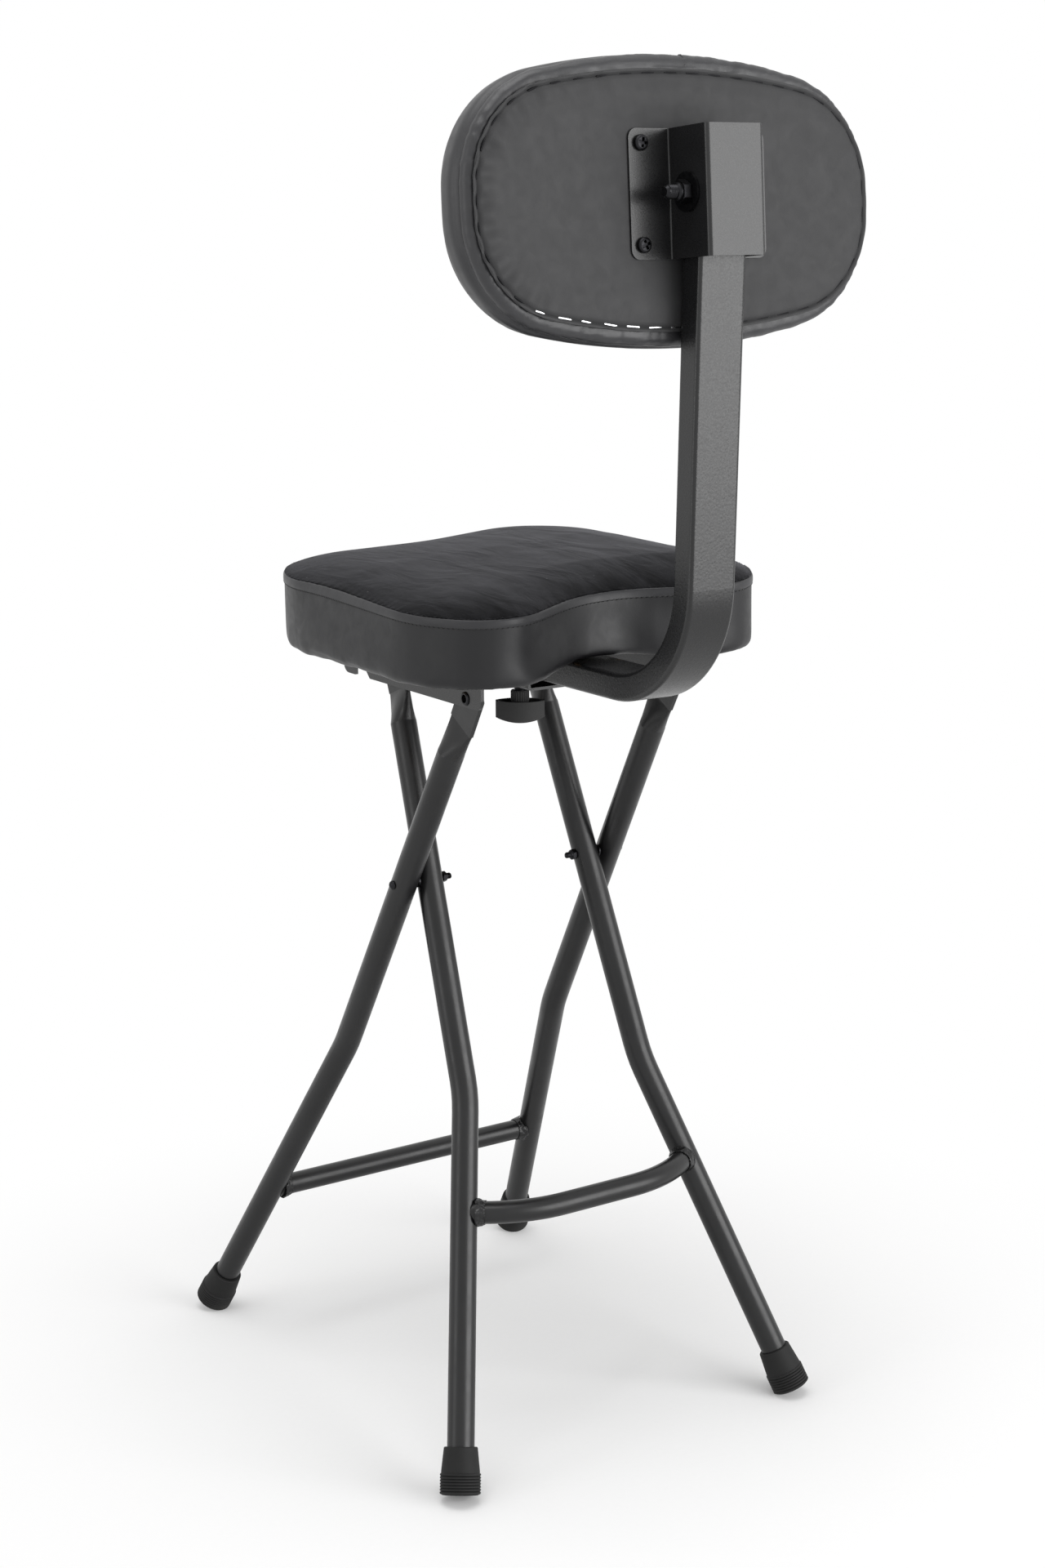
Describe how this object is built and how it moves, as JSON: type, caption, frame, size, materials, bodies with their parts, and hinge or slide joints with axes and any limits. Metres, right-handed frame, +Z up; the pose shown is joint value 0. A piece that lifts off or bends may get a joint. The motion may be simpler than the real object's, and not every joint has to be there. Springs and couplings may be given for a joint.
{
  "type": "guitar stool",
  "caption": "Folding stool with crossed tube legs, a padded kidney-shaped seat and a padded oval backrest on a bent post that slides under the seat and is held by a thumb screw.",
  "frame": {"origin": "on the floor, under the middle of the stool's bounding box as it stands open", "axes": "+Z up, -Y the way the sitter faces, +X the sitter's left"},
  "size_m": [0.3251, 0.4936, 0.952],
  "materials": {
    "leg_paint": "satin",
    "foot_rubber": "matte",
    "black_hardware": "blackened",
    "bracket_paint": "satin",
    "post_paint": "textured",
    "moulded_plastic": "matte",
    "plywood": "raw",
    "seat_velvet": "velvet",
    "back_vinyl": "grained"
  },
  "bodies": {
    "outer_frame": {"outer_leg_left": "leg_paint", "outer_leg_right": "leg_paint", "outer_crossbar": "leg_paint", "outer_welds": "leg_paint", "foot_front_left": "foot_rubber", "foot_front_right": "foot_rubber", "crossing_bolt_left": "black_hardware", "crossing_bolt_right": "black_hardware", "crossing_washers": "black_hardware", "crossing_nuts": "black_hardware"},
    "inner_frame": {"inner_leg_left": "leg_paint", "inner_leg_right": "leg_paint", "inner_crossbar": "leg_paint", "inner_welds": "leg_paint", "foot_rear_left": "foot_rubber", "foot_rear_right": "foot_rubber", "front_rod": "black_hardware", "rod_push_nuts": "black_hardware"},
    "seat": {"seat_bracket": "bracket_paint", "pivot_rivets": "black_hardware", "post_socket": "bracket_paint", "socket_welds": "bracket_paint", "clamp_nut": "black_hardware", "seat_screws": "black_hardware", "seat_board": "plywood", "seat_pad": "seat_velvet"},
    "clamp": {"clamp_screw": "black_hardware", "clamp_knob": "moulded_plastic"},
    "post": {"backrest_post": "post_paint", "post_plugs": "moulded_plastic"},
    "backrest": {"backrest_bracket": "bracket_paint", "bracket_screws": "black_hardware", "tilt_bolt": "black_hardware", "tilt_washers": "black_hardware", "tilt_nut": "black_hardware", "backrest_panel": "back_vinyl", "backrest_board": "plywood", "backrest_pad": "back_vinyl"}
  },
  "joints": [
    {"name": "leg_fold", "type": "hinge", "parent": "outer_frame", "child": "inner_frame", "pos_m": [0, -0.01452, 0.394], "axis": [-1, 0, 0], "range_deg": [0, 45]},
    {"name": "seat_flip", "type": "hinge", "parent": "outer_frame", "child": "seat", "pos_m": [0, 0.06933, 0.541], "axis": [-1, 0, 0], "range_deg": [0, 103]},
    {"name": "clamp_turn", "type": "hinge", "parent": "seat", "child": "clamp", "pos_m": [0, 0.00148, 0.5195], "axis": [0, 0, -1], "range_deg": [0, 360]},
    {"name": "post_slide", "type": "slide", "parent": "seat", "child": "post", "axis": [0, 1, 0], "range_m": [-0.025, 0.03]},
    {"name": "backrest_tilt", "type": "hinge", "parent": "post", "child": "backrest", "pos_m": [0, 0.22369, 0.871], "axis": [-1, 0, 0], "range_deg": [0, 16]}
  ],
  "couplings": [
    {"joint": "seat_flip", "follows": "leg_fold", "ratio": 2.285}
  ]
}
